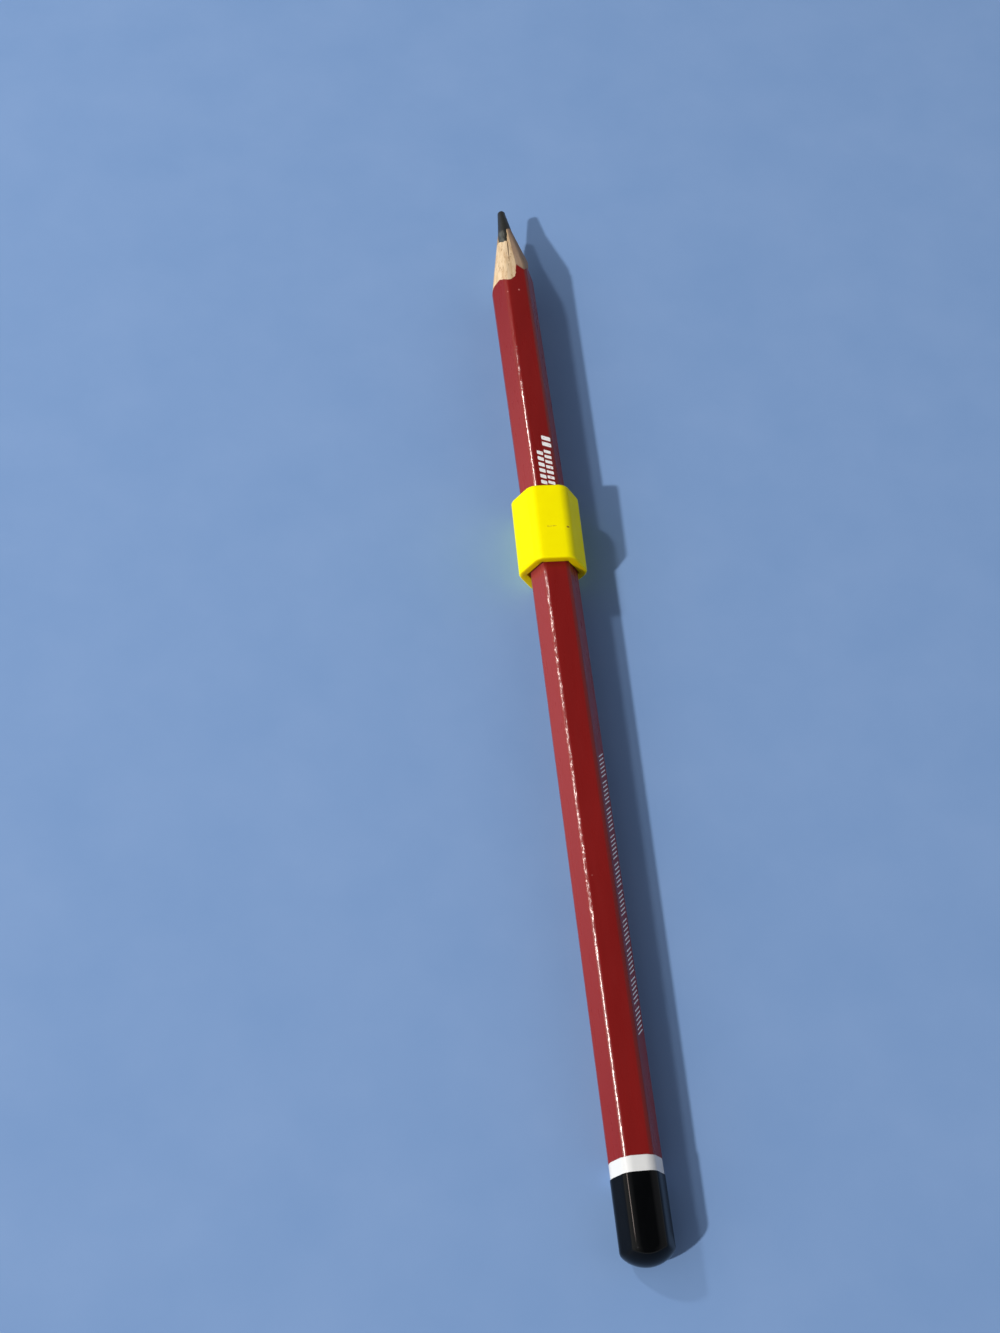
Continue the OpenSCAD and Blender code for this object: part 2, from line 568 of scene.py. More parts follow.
# %% [markdown]
# ## The red lacquer
# The lacquer is a skin of about 0.15 mm. It could be a colour on the wood, but as a tube with an inside
# and an outside it can be cut by the sharpened space like the wood, and the cut shows its thickness. The
# rear pencil has the same tube without the cut, but sanded a little thinner where it was dipped later.

# %% Model the lacquer of both pencils
lacquer_butt = 0.75
rear_lacquer_end = -117
white_front = -104.9
sanding_begins = 0.03
sanding_complete = 0.1
sanding_depth = 0.1


def lacquer_tube(name, stations):
    """A six-sided tube of lacquer along the axis, through stations of (y, half width)."""
    start, end = stations[0][0], stations[-1][0]
    dip = math.copysign(bridge_dip, end - start)
    outer = six_sided_ring(name, 2 * pencil_half, pencil_edge_reach, flattened, start)
    draw_out(stations)
    inner = six_sided_ring("inside", 2 * wood_half, pencil_edge_reach, flattened, start + dip)
    draw_out([(start + dip, wood_half), (end - dip, wood_half)])
    join_as_one(outer, inner)
    edit(outer)
    bridge_at(outer, start)
    bridge_at(outer, end)
    close_and_turn_out(outer)
    return outer


stub_lacquer = lacquer_tube("stub_lacquer", [(lacquer_butt, pencil_half), (wood_front, pencil_half)])
stub_lacquer.data.transform(settled)
carve(stub_lacquer, "INTERSECT", sharpened_space)
for block in (flaked_lacquer, worn_lacquer):
    carve(stub_lacquer, "DIFFERENCE", block)
close_and_turn_out(stub_lacquer)
sanded_half = pencil_half - sanding_depth
rear_lacquer = lacquer_tube(
    "rear_lacquer_skin",
    [
        (-lacquer_butt, pencil_half),
        (white_front - sanding_begins, pencil_half),
        (white_front - sanding_complete, sanded_half),
        (rear_lacquer_end, sanded_half),
    ],
)
for skin, body, node in (
    (stub_lacquer, "front_pencil", "front_lacquer"),
    (rear_lacquer, "rear_pencil", "rear_lacquer"),
):
    smooth_over(skin)
    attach(skin, body)
    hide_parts(node)
    report(skin)
cutters = (sharpened_space, lead_bore, broken_wood, wood_crack, deeper_cut, flaked_lacquer, worn_lacquer)
for cutter in cutters:
    bpy.data.objects.remove(cutter)

# %% [markdown]
# ## The shape of the dome
# At the rear end the hexagon flows into a dome. A dome cuts the corners of the hexagon back first and its
# flats later, so each ring towards the end is rounder than the one before. Two sums say how wide a ring is
# and how round: the least of the hexagon and of a ball, with a soft passage between them.

# %% Helpers for the dome
shoulder = 0.08
round_enough = 1.000001


def ring_sizes(piece):
    """The least, mean and largest distance of the selected ring from the axis."""
    mesh = bmesh.from_edit_mesh(piece.data)
    axis = Vector((0, 0, axis_height * MM))
    across = Vector((1, 0, 1))
    ring = [vertex for vertex in mesh.verts if vertex.select]
    reaches = [((vertex.co - axis) * across).length / MM for vertex in ring]
    return min(reaches), sum(reaches) / len(reaches), max(reaches)


def soft_least(first, second):
    """The smaller of two sizes, with a soft passage where they are alike."""
    return -shoulder * math.log(math.exp(-first / shoulder) + math.exp(-second / shoulder))


def roundness_for(flat, mean, corner, slimness):
    """How far To Sphere has to go until a corner is slimness times as far out as a flat."""
    if slimness < round_enough:
        return 1
    weight = max(corner - slimness * flat, 0) / (mean * (slimness - 1))
    return weight / (1 + weight)


# %% [markdown]
# ## The dipped end
# The rear end was dipped in white paint and then, less deep, in black. Paint gathers into a thin rounded
# lip at the dip line and softens the edges. A copy of the lacquer, grown a little, would miss both. So
# each coat is a ring drawn out from its lip. Over the dome, To Sphere makes each further ring as round as
# the sums ask for, and the last ring is merged to a point. Solidify then gives the skin its thickness.

# %% Model both coats of paint
rear_end = cad_low[1]
coat_thickness = 0.06
gathered_thickness = 0.1
black_front = -107.2
dip_edge_reach = 1.1
# The ball that rounds the end of the bare wood, as in the CAD model
wood_end_radius = 4.8015
dome_length = 3.4
dome_steps = 24
least_depth = 0.002
paint_crisp_angle = 60
# Each ring of the lip lies so far behind the dip line and lacks such a share of the gathered paint
lip_shape = ((0, 0.8), (0.05, 0.25), (0.15, 0))


def paint_coat(name, layer, front):
    """One coat of paint over the rear end: layer 1 is the white one and layer 2 the black one."""
    half = pencil_half + layer * gathered_thickness
    end = rear_end + (2 - layer) * coat_thickness
    end_radius = wood_end_radius + layer * coat_thickness
    lip = [(front - behind, half - missing * gathered_thickness) for behind, missing in lip_shape]
    coat = six_sided_ring(name, 2 * lip[0][1], dip_edge_reach, rounded, front)
    draw_out(lip + [(end + dome_length, half)])
    flat, mean, corner = ring_sizes(coat)
    y, scale, roundness = end + dome_length, 1, 0
    for step in range(1, dome_steps + 1):
        depth = max(dome_length * (1 - math.sin(quarter_turn * step / dome_steps)), least_depth)
        dome_radius = math.sqrt(2 * end_radius * depth - depth**2)
        new_flat = soft_least(flat, dome_radius)
        new_roundness = roundness_for(flat, mean, corner, soft_least(corner, dome_radius) / new_flat)
        new_scale = new_flat / (flat + new_roundness * (mean - flat))
        bpy.ops.mesh.extrude_edges_move(TRANSFORM_OT_translate={"value": (0, (end + depth - y) * MM, 0)})
        if new_roundness > roundness:
            bpy.ops.transform.tosphere(value=(new_roundness - roundness) / (1 - roundness))
        squeeze(new_scale / scale)
        y, scale, roundness = end + depth, new_scale, max(roundness, new_roundness)
    bpy.ops.mesh.merge(type="CENTER")
    close_and_turn_out(coat)
    apply_modifier(coat, "SOLIDIFY", thickness=coat_thickness * MM, offset=-1)
    smooth_over(coat, paint_crisp_angle)
    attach(coat, "rear_pencil")
    report(coat)
    return coat


white_coat = paint_coat("white_band_paint", 1, white_front)
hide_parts("rear_white_dip")
black_coat = paint_coat("black_end_paint", 2, black_front)
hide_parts("rear_black_dip")

# %% [markdown]
# ## Stamped marks
# The lacquer carries a plain white stamp: rows of slanted bars on the stub's upper flat, and groups of six
# fine ticks along the rear pencil's right flat. They could be a mask in the lacquer's colour, but thin
# raised bars keep their crisp edges in the exported mesh. One bar is drawn as a parallelogram with soft
# corners. The others are copies, set a step further along and joined into a row.

# %% Helpers for the marks
foil_sunk = 0.01
foil_thickness = 0.025
soft_corner_share = 1 / 6
soft_corner_steps = 2


def slanted_bar(name, middle, tall, stroke, slant):
    """A thin bar across the upper flat, its middle at (x, y), leaning by slant from end to end."""
    let_go()
    x, y = middle
    base = Vector((x, y, axis_height + pencil_half - foil_sunk)) * MM
    bpy.ops.mesh.primitive_plane_add(size=MM, location=base)
    bpy.ops.object.transform_apply(location=True, rotation=True, scale=True)
    bar = bpy.context.object
    bar.name = bar.data.name = name
    edit(bar)
    bpy.ops.mesh.select_all(action="SELECT")
    bpy.ops.transform.resize(value=(tall, stroke, 1), center_override=base)
    pick_edges(bar, lambda edge: all(vertex.co.x > x * MM for vertex in edge.verts))
    bpy.ops.transform.translate(value=(0, slant * MM, 0))
    bpy.ops.mesh.select_all(action="SELECT")
    bpy.ops.mesh.bevel(
        offset=soft_corner_share * stroke * MM, segments=soft_corner_steps, affect="VERTICES"
    )
    bpy.ops.mesh.select_all(action="SELECT")
    bpy.ops.mesh.extrude_region_move(TRANSFORM_OT_translate={"value": (0, 0, foil_thickness * MM)})
    close_and_turn_out(bar)
    return bar


def row_of(bar, count, pitch):
    """Copy a bar along Y, each copy with its own mesh, and join the row."""
    copies = []
    for place in range(1, count):
        take_up(bar)
        bpy.ops.object.duplicate()
        bpy.ops.transform.translate(value=(0, place * pitch * MM, 0))
        bpy.ops.object.transform_apply(location=True, rotation=True, scale=True)
        copies.append(bpy.context.object)
    return join_as_one(bar, *copies)


# %% [markdown]
# Each row is made on the upper flat, where it is easy to measure. The stub's rows are then settled like the
# stub. On the rear pencil a whole group of ticks is copied on in the same way as a bar, and the row is
# turned about the axis by one flat.

# %% Model the marks
front_bar = slanted_bar("stub_stamp_bars", middle=(0.95, 16.7), tall=1.5, stroke=0.8, slant=-0.5)
left_bar = slanted_bar("left_bars", middle=(-0.42, 8.9), tall=1.0, stroke=0.72, slant=-0.35)
right_bar = slanted_bar("right_bars", middle=(0.87, 8.8), tall=1.15, stroke=0.6, slant=-0.35)
stub_bars = row_of(front_bar, count=2, pitch=1.25)
left_bars = row_of(left_bar, count=6, pitch=1.2)
right_bars = row_of(right_bar, count=7, pitch=1.05)
join_as_one(stub_bars, left_bars, right_bars)
stub_bars.data.transform(settled)
tick = slanted_bar("rear_stamp_ticks", middle=(0.1, -42.4), tall=1.9, stroke=0.22, slant=1.3)
tick_group = row_of(tick, count=6, pitch=-0.7)
rear_ticks = row_of(tick_group, count=10, pitch=-4.6)
edit(rear_ticks)
bpy.ops.mesh.select_all(action="SELECT")
bpy.ops.transform.rotate(
    value=-2 * half_corner, orient_axis="Y", center_override=(0, 0, axis_height * MM)
)
bpy.ops.object.mode_set(mode="OBJECT")
for stamp, body in ((stub_bars, "front_pencil"), (rear_ticks, "rear_pencil")):
    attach(stamp, body)
    report(stamp)

# %% [markdown]
# ## Finishes
# Every finish is made of nodes that read Object coordinates, so a pattern stays on its piece when the
# piece slides. Painted pictures could do that as well, but nodes stay sharp at any distance. Noises give
# the patterns. Their scales are per metre: a noise of scale 1000 has blotches of about a millimetre.

# %% Helpers for patterns
noise_low = 0.3
noise_high = 0.7
noise_roughness = 0.55


def new_finish(name):
    """A node material with its shader, ready to wire."""
    finish = bpy.data.materials.new(name)
    finish.use_nodes = True
    return finish, finish.node_tree, finish.node_tree.nodes["Principled BSDF"]


def object_place(tree):
    """The Object coordinates."""
    return tree.nodes.new("ShaderNodeTexCoord").outputs["Object"]


def noise(tree, scale, detail=3, distortion=0):
    """Soft random blotches, stretched by a scale along each axis."""
    mapping = tree.nodes.new("ShaderNodeMapping")
    mapping.inputs["Scale"].default_value = scale
    tree.links.new(object_place(tree), mapping.inputs["Vector"])
    pattern = tree.nodes.new("ShaderNodeTexNoise")
    pattern.inputs["Scale"].default_value = 1
    pattern.inputs["Detail"].default_value = detail
    pattern.inputs["Roughness"].default_value = noise_roughness
    pattern.inputs["Distortion"].default_value = distortion
    tree.links.new(mapping.outputs["Vector"], pattern.inputs["Vector"])
    return pattern.outputs["Fac"]


# %% [markdown]
# ### Sums and masks
# A mask is a number between 0 and 1 that says where something shows. It could be a picture, but a place on
# the axis and a few sums are enough here. Each helper adds one small group of nodes and hands on its
# socket, so that a finish below reads like a recipe.

# %% Helpers for sums and masks


def maths(tree, kind, first, second=None):
    """One sum on sockets or plain numbers."""
    node = tree.nodes.new("ShaderNodeMath")
    node.operation = kind
    for socket, source in zip(node.inputs, (first, second)):
        if source is None:
            continue
        if isinstance(source, (int, float)):
            socket.default_value = source
        else:
            tree.links.new(source, socket)
    return node.outputs["Value"]


def product(tree, *values):
    """Several sockets or plain numbers multiplied."""
    total = values[0]
    for value in values[1:]:
        total = maths(tree, "MULTIPLY", total, value)
    return total


def between(tree, value, low, high, to_low=0, to_high=1):
    """Map a value from one range to another and hold it there."""
    node = tree.nodes.new("ShaderNodeMapRange")
    node.inputs["From Min"].default_value = low
    node.inputs["From Max"].default_value = high
    node.inputs["To Min"].default_value = to_low
    node.inputs["To Max"].default_value = to_high
    tree.links.new(value, node.inputs["Value"])
    return node.outputs["Result"]


def along(tree, axis):
    """One Object coordinate in millimetres."""
    split = tree.nodes.new("ShaderNodeSeparateXYZ")
    tree.links.new(object_place(tree), split.inputs["Vector"])
    return maths(tree, "DIVIDE", split.outputs[axis], MM)


def rising(tree, axis, low, high):
    """0 up to one place along an axis, 1 from another on."""
    return between(tree, along(tree, axis), low, high)


def falling(tree, axis, low, high):
    """1 up to one place along an axis, 0 from another on."""
    return between(tree, along(tree, axis), low, high, 1, 0)


def band(tree, value, low, high, soft):
    """1 between two values, falling to 0 over a soft edge on both sides."""
    rise = between(tree, value, low - soft, low)
    fall = between(tree, value, high, high + soft, 1, 0)
    return product(tree, rise, fall)


# %% [markdown]
# ### Colour, gloss and relief
# A finish mixes its colours by masks, spreads its roughness over a noise and takes its relief from a
# height. Numbers that are the same all over go straight on the shader's sockets, because the export drops
# some of them when they arrive through a node.

# %% Helpers for colour, gloss and relief


def colours(tree, value, stops):
    """Turn a value into a colour through stops of (place, colour)."""
    ramp = tree.nodes.new("ShaderNodeValToRGB")
    while len(ramp.color_ramp.elements) < len(stops):
        ramp.color_ramp.elements.new(0.5)
    for element, (place, colour) in zip(ramp.color_ramp.elements, stops):
        element.position = place
        element.color = (*colour, 1)
    tree.links.new(value, ramp.inputs["Fac"])
    return ramp.outputs["Color"]


def toned(tree, pattern, dark, light):
    """A colour from dark to light over the usual range of a noise."""
    return colours(tree, pattern, [(noise_low, dark), (noise_high, light)])


def mixed(tree, share, first, second):
    """Mix two colours by a share; each is a socket or a plain colour."""
    mix = tree.nodes.new("ShaderNodeMix")
    mix.data_type = "RGBA"
    tree.links.new(share, mix.inputs["Factor"])
    for socket, source in ((mix.inputs["A"], first), (mix.inputs["B"], second)):
        if isinstance(source, tuple):
            socket.default_value = (*source, 1)
        else:
            tree.links.new(source, socket)
    return mix.outputs["Result"]


def roughened(tree, shader, pattern, low, high):
    """Spread the roughness from low to high over the usual range of a noise."""
    roughness = between(tree, pattern, noise_low, noise_high, low, high)
    tree.links.new(roughness, shader.inputs["Roughness"])


def bumped(tree, shader, height, depth, layer="Normal"):
    """Turn a height into a relief of a depth in millimetres, on the surface or on its clear coat."""
    bump = tree.nodes.new("ShaderNodeBump")
    bump.inputs["Strength"].default_value = 1
    bump.inputs["Distance"].default_value = depth * MM
    tree.links.new(height, bump.inputs["Height"])
    tree.links.new(bump.outputs["Normal"], shader.inputs[layer])


def dress(piece, finish):
    """Give a piece one finish all over."""
    piece.data.materials.clear()
    piece.data.materials.append(finish)
    print(f"{piece.name}: {finish.name}, {len(finish.node_tree.nodes)} nodes")


# %% [markdown]
# ### Yellow printed plastic
# The plastic is a strong satin yellow that lets a little light in. Printing leaves fine lines round the
# sleeve, which the mesh already has, and a grain inside each line, which a stretched noise gives. The end
# faces are a deeper amber, and on the upper flat there is a small brown scratch with a spot beside it. They
# are masks by place, since marks that small need no mesh of their own.

# %% Yellow plastic
dark_yellow = (0.94, 0.81, 0.0)
light_yellow = (0.97, 0.85, 0.0)
amber = (0.78, 0.56, 0.0)
scratch_brown = (0.4, 0.26, 0.02)
amber_begins = 0.15
amber_complete = 0.01
upper_flat_heights = (8, 9)
fleck_shares = (0.35, 0.6)
# Each mark has a band along X and one along Y, as low, high and soft edge
scratch_bands = ((-0.74, 0.57, 0.2), (-1.18, -1.04, 0.06))
spot_bands = ((2.4, 2.7, 0.12), (-1.42, -1.2, 0.1))


def patch(tree, x_band, y_band):
    """1 in a soft-edged rectangle in plan."""
    return product(tree, band(tree, along(tree, "X"), *x_band), band(tree, along(tree, "Y"), *y_band))


yellow, tree, shader = new_finish("printed_yellow_plastic")
clouds = noise(tree, (250, 250, 250))
strands = noise(tree, (900, 5000, 900), detail=2)
tone = toned(tree, clouds, dark_yellow, light_yellow)
askew = product(tree, along(tree, "X"), math.tan(sleeve_turn))
from_middle = maths(tree, "ABSOLUTE", maths(tree, "ADD", along(tree, "Y"), askew))
end_faces = between(tree, from_middle, sleeve_end - amber_begins, sleeve_end - amber_complete)
tone = mixed(tree, end_faces, tone, amber)
flecks = between(tree, noise(tree, (3000, 3000, 3000)), *fleck_shares)
scratch = product(tree, patch(tree, *scratch_bands), flecks)
wear = maths(tree, "ADD", scratch, patch(tree, *spot_bands))
wear = product(tree, wear, rising(tree, "Z", *upper_flat_heights))
tone = mixed(tree, wear, tone, scratch_brown)
tree.links.new(tone, shader.inputs["Base Color"])
roughened(tree, shader, strands, low=0.4, high=0.52)
shader.inputs["Specular IOR Level"].default_value = 0.05
shader.inputs["Subsurface Weight"].default_value = 0.08
shader.inputs["Subsurface Radius"].default_value = (0.0012, 0.001, 0.0002)
shader.inputs["Subsurface Scale"].default_value = 1
bumped(tree, shader, strands, depth=0.004)
dress(sleeve, yellow)

# %% [markdown]
# ### Wear on the lacquer, and light painted on it
# Handling has polished the upper left edge. Round the sleeve, where fingers hold the pencils, the polish is
# scuffed. The flat left of that edge is painted a paler red, most by the sleeve: painted light, for the
# brighter light that flat catches from the left. On the stub the polish breaks up into dots and ends well
# before the cut, and two nicks lie near it. Wear could be painted by hand on an unwrapped mesh. Here an
# angle about the axis and a place along Y are enough to say where it is, so each kind is a mask.

# %% Where the lacquer is polished, scuffed and nicked, and where light is painted on it
edge_angle = math.radians(120)
polish_reach = math.radians(2.8)
soft_share = 1.5
nick_reach = 0.13
stub_nicks = ((-1.92, 49.7, axis_height + 3.6), (0.19, 50.1, axis_height + 3.46))
# Each passage along Y starts at the first place and is complete at the second
painted_light_begins = (-130, -40)
painted_light_ends = (5, 58)
polish_ends = (34, 39)
scuffs_begin = (-80, -62)
scuffs_end = (2, 4)
dots_begin = (26, 30)


def near(tree, places, reach):
    """1 within a reach of any of some places, falling softly to 0 beyond it."""
    total = 0
    for place in places:
        distance = tree.nodes.new("ShaderNodeVectorMath")
        distance.operation = "DISTANCE"
        tree.links.new(object_place(tree), distance.inputs[0])
        distance.inputs[1].default_value = Vector(place) * MM
        share = between(tree, distance.outputs["Value"], reach * MM, soft_share * reach * MM, 1, 0)
        total = maths(tree, "MAXIMUM", share, total)
    return total


def painted_light_flat(tree, turn, polished_edge):
    """1 on the flat left of the polished edge, strongest by the sleeve, where a paler red is painted as
    light.
    """
    next_edge = polished_edge + 2 * half_corner
    left_flat = band(tree, turn, polished_edge + polish_reach, next_edge - polish_reach, polish_reach)
    return product(tree, left_flat, rising(tree, "Y", *painted_light_begins), falling(tree, "Y", *painted_light_ends))


def polish_on_edge(tree, turn, polished_edge):
    """1 along the polished edge, as far as it reaches on the stub."""
    from_edge = maths(tree, "ABSOLUTE", maths(tree, "SUBTRACT", turn, polished_edge))
    polish = between(tree, from_edge, polish_reach, soft_share * polish_reach, 1, 0)
    return product(tree, polish, falling(tree, "Y", *polish_ends))


def scuffed_parts(tree):
    """1 by the sleeve and where the polish on the stub breaks up."""
    by_sleeve = product(tree, rising(tree, "Y", *scuffs_begin), falling(tree, "Y", *scuffs_end))
    return maths(tree, "MAXIMUM", by_sleeve, rising(tree, "Y", *dots_begin))


# %% [markdown]
# ### Red lacquer
# The lacquer is deep red and only half glossy on the flats, because the wood's grain shows through as long
# ripples. One gloss all over would hide that, so the flats have a rough shine and a clear coat covers the
# polished edge alone. Nicks show paler red: the two that were measured and a few from a noise. A faint
# sheen stands for the dust and fingerprints that make flats seen aslant a little paler. The stub has
# settled, so its polished edge lies at another angle, and it has a finish of its own from the same recipe.

# %% Red lacquer
dark_red = (0.188, 0.0083, 0.0075)
light_red = (0.216, 0.0106, 0.0095)
# Painted light: a paler red for the flat left of the polished edge
painted_light_red = (0.29, 0.036, 0.033)
nick_red = (0.5, 0.17, 0.15)
dust_pink = (1, 0.5, 0.48)
nick_shares = (0.8, 0.84)
scuff_shares = (0.45, 0.55)
most_dulling = 0.95
least_scuff = 0.25


def red_lacquer(name, polished_edge):
    """Deep red lacquer, polished along the edge at one angle about the axis."""
    red, tree, shader = new_finish(name)
    ripples = noise(tree, (900, 160, 900), detail=4)
    blotches = noise(tree, (300, 60, 300))
    scuffs = noise(tree, (1500, 900, 1500), detail=2)
    turn = maths(tree, "ARCTAN2", maths(tree, "SUBTRACT", along(tree, "Z"), axis_height), along(tree, "X"))
    tone = toned(tree, blotches, dark_red, light_red)
    # Painted light: the flat left of the polished edge gets a paler red
    tone = mixed(tree, painted_light_flat(tree, turn, polished_edge), tone, painted_light_red)
    nicks = between(tree, noise(tree, (1400, 900, 1400), detail=1), *nick_shares)
    nicks = maths(tree, "MAXIMUM", nicks, near(tree, stub_nicks, nick_reach))
    tone = mixed(tree, nicks, tone, nick_red)
    tree.links.new(tone, shader.inputs["Base Color"])
    roughened(tree, shader, ripples, low=0.24, high=0.36)
    shader.inputs["Specular IOR Level"].default_value = 0.2
    shader.inputs["Sheen Weight"].default_value = 0.3
    shader.inputs["Sheen Roughness"].default_value = 0.3
    shader.inputs["Sheen Tint"].default_value = (*dust_pink, 1)
    bumped(tree, shader, ripples, depth=0.006)
    scuffed = scuffed_parts(tree)
    dulling = product(tree, scuffed, between(tree, scuffs, *scuff_shares, most_dulling, 0))
    kept_polish = product(
        tree, polish_on_edge(tree, turn, polished_edge), maths(tree, "SUBTRACT", 1, dulling)
    )
    tree.links.new(kept_polish, shader.inputs["Coat Weight"])
    shader.inputs["Coat Roughness"].default_value = 0.06
    shader.inputs["Coat IOR"].default_value = 2
    scuff_height = product(tree, scuffs, between(tree, scuffed, 0, 1, least_scuff, 1))
    bumped(tree, shader, scuff_height, depth=0.1, layer="Coat Normal")
    return red


dress(stub_lacquer, red_lacquer("stub_red_lacquer", edge_angle - stub_roll))
dress(rear_lacquer, red_lacquer("rear_red_lacquer", edge_angle))

# %% [markdown]
# ### Cut cedar
# Along the pencil the grain runs as long pale and darker streaks, with short dark pores and a few brown
# marks where the sharpener crossed it. A wood photograph would have to be wrapped round the cone, so all
# of them are noises stretched along Y. Right of the crack the wood is painted darker as shade, on a line
# that runs a little outwards towards the paint. The rear pencil's slats show only at their ends and have
# the same wood.

# %% Cedar
dark_cedar = (0.52, 0.34, 0.18)
cedar_tone = (0.7, 0.52, 0.32)
pale_cedar = (0.78, 0.61, 0.41)
streak_brown = (0.48, 0.29, 0.14)
mark_brown = (0.3, 0.16, 0.06)
pore_brown = (0.24, 0.13, 0.06)
shaded_cedar = (0.27, 0.18, 0.13)
shade_slant = 0.037
shade_begins = (2.28, 2.38)
# Shares of each noise between which a detail comes in, and how strong it gets
streak_range = (0.5, 0.68, 0, 0.7)
mark_range = (0.6, 0.68, 0, 0.65)
pore_range = (0.62, 0.7, 0, 0.6)
most_shade = 0.85

cedar, tree, shader = new_finish("cut_cedar")
grain = noise(tree, (2600, 160, 2600), detail=5, distortion=0.4)
streaks = between(tree, noise(tree, (900, 60, 900), detail=2), *streak_range)
marks = between(tree, noise(tree, (1900, 700, 1900), distortion=0.8), *mark_range)
pores = between(tree, noise(tree, (5200, 420, 5200), detail=2), *pore_range)
tone = colours(tree, grain, [(0.25, dark_cedar), (0.5, cedar_tone), (0.75, pale_cedar)])
tone = mixed(tree, streaks, tone, streak_brown)
tone = mixed(tree, marks, tone, mark_brown)
tone = mixed(tree, pores, tone, pore_brown)
# Painted shade: right of the crack the wood darkens towards shaded_cedar
outwards = maths(tree, "ADD", along(tree, "X"), product(tree, along(tree, "Y"), shade_slant))
tone = mixed(tree, between(tree, outwards, *shade_begins, 0, most_shade), tone, shaded_cedar)
tree.links.new(tone, shader.inputs["Base Color"])
shader.inputs["Roughness"].default_value = 0.75
shader.inputs["Specular IOR Level"].default_value = 0.25
bumped(tree, shader, maths(tree, "SUBTRACT", grain, pores), depth=0.04)
rear_wood = (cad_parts["rear_upper_slat"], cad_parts["rear_lower_slat"])
for slat in (upper_wood, lower_wood, *rear_wood):
    dress(slat, cedar)

# %% [markdown]
# ### Graphite
# Worn graphite is nearly black with a dull shine and fine scratches round the point. A metal finish would
# be too bright, so it is a dark plain one whose roughness follows the scratches. Behind the point, where
# the wood has broken away, patches of the lead's uncut side are painted a paler grey: a painted reflection.

# %% Graphite
dark_graphite = (0.012, 0.013, 0.012)
light_graphite = (0.032, 0.033, 0.03)
# Painted reflection on the lead's uncut side
painted_glint_grey = (0.08, 0.086, 0.076)
cut_line = front_tip - bare_lead
uncut_ends = (cut_line - 0.25, cut_line + 0.05)
uncut_left_of = (-0.85, -0.6)
glint_patch_shares = (0.35, 0.6)

graphite, tree, shader = new_finish("worn_graphite")
scratches = noise(tree, (1500, 6000, 1500), detail=4)
glint_patches = between(tree, noise(tree, (1600, 700, 1600)), *glint_patch_shares)
tone = toned(tree, scratches, dark_graphite, light_graphite)
# Painted reflection: patches of the lead's uncut side are painted a paler grey
painted_glint = product(tree, falling(tree, "Y", *uncut_ends), falling(tree, "X", *uncut_left_of), glint_patches)
tone = mixed(tree, painted_glint, tone, painted_glint_grey)
tree.links.new(tone, shader.inputs["Base Color"])
roughened(tree, shader, scratches, low=0.32, high=0.5)
shader.inputs["Specular IOR Level"].default_value = 0.3
bumped(tree, shader, scratches, depth=0.01)
for rod in (lead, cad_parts["rear_core"]):
    dress(rod, graphite)

# %% [markdown]
# ### White and black paint
# Both dips are glossy with slow ripples from the running paint. The white is a little warm and the black
# has a trace of blue. They could be two finishes of their own, but one recipe with two sets of colours
# keeps their ripples alike.

# %% Dipped paints
white_tones = ((0.72, 0.725, 0.72), (0.75, 0.75, 0.74))
black_tones = ((0.0012, 0.0014, 0.0016), (0.0024, 0.0026, 0.0029))


def dipped_paint(name, tones, shiny, dull, gloss):
    """Paint between two near colours, with slow ripples; gloss is its index of refraction."""
    paint, tree, shader = new_finish(name)
    ripples = noise(tree, (420, 160, 420))
    tree.links.new(toned(tree, ripples, *tones), shader.inputs["Base Color"])
    roughened(tree, shader, ripples, shiny, dull)
    shader.inputs["IOR"].default_value = gloss
    bumped(tree, shader, ripples, depth=0.008)
    return paint


dress(white_coat, dipped_paint("dipped_white_paint", white_tones, shiny=0.2, dull=0.3, gloss=1.45))
dress(black_coat, dipped_paint("dipped_black_paint", black_tones, shiny=0.04, dull=0.08, gloss=1.25))

# %% [markdown]
# ### Stamped white
# The stamped marks are a thin white foil that has worn in places, where the red shows through. Holes in
# the mesh would be too fine to see, so a noise mixes in a dull red and makes those places rougher.

# %% Stamped foil
foil_white = (0.88, 0.88, 0.87)
worn_through = (0.55, 0.25, 0.24)
worn_shares = (0.58, 0.7)
foil_roughness = (0.35, 0.6)

foil, tree, shader = new_finish("stamped_white_foil")
worn = between(tree, noise(tree, (2200, 2200, 2200), detail=4), *worn_shares)
tree.links.new(mixed(tree, worn, foil_white, worn_through), shader.inputs["Base Color"])
tree.links.new(between(tree, worn, 0, 1, *foil_roughness), shader.inputs["Roughness"])
for stamp in (stub_bars, rear_ticks):
    dress(stamp, foil)

# %% [markdown]
# ## The table
# The object lies on a pale blue table. Because the sleeve is thicker than the pencils, the part tips: it
# rests on the sleeve's rear edge and on the black end. The part has to stay level in the CAD model's frame,
# so the table is tilted by that small angle instead.

# %% Table
table_size = 4
rest_drop = 1.53
black_end_rest = 117.3
dark_blue = (0.2, 0.335, 0.6)
light_blue = (0.22, 0.355, 0.62)

let_go()
bpy.ops.mesh.primitive_plane_add(size=table_size)
table = bpy.context.object
table.name = "pale_blue_table"
table.rotation_euler = (-math.atan(rest_drop / (black_end_rest - sleeve_end)), 0, 0)
table.location = (0, -sleeve_end * MM, 0)
bpy.ops.object.transform_apply(location=True, rotation=True, scale=True)
table_top, tree, shader = new_finish("pale_blue_table_top")
specks = noise(tree, (60, 60, 60), detail=4)
tree.links.new(toned(tree, specks, dark_blue, light_blue), shader.inputs["Base Color"])
shader.inputs["Roughness"].default_value = 0.6
shader.inputs["Specular IOR Level"].default_value = 0.2
dress(table, table_top)

# %% [markdown]
# ## The lamps
# One lamp at the left behind the camera throws the main shadow to the right. A weak second lamp at the left
# in front throws the fainter shadow beside it and is kept out of reflections. A single large window would
# blur both shadows into one, so each has a small lamp. Places and sizes of lamps are in metres.

# %% Lamps for the shadows
object_middle = (0, -0.02, axis_height * MM)
warm_white = (1, 0.98, 0.95)


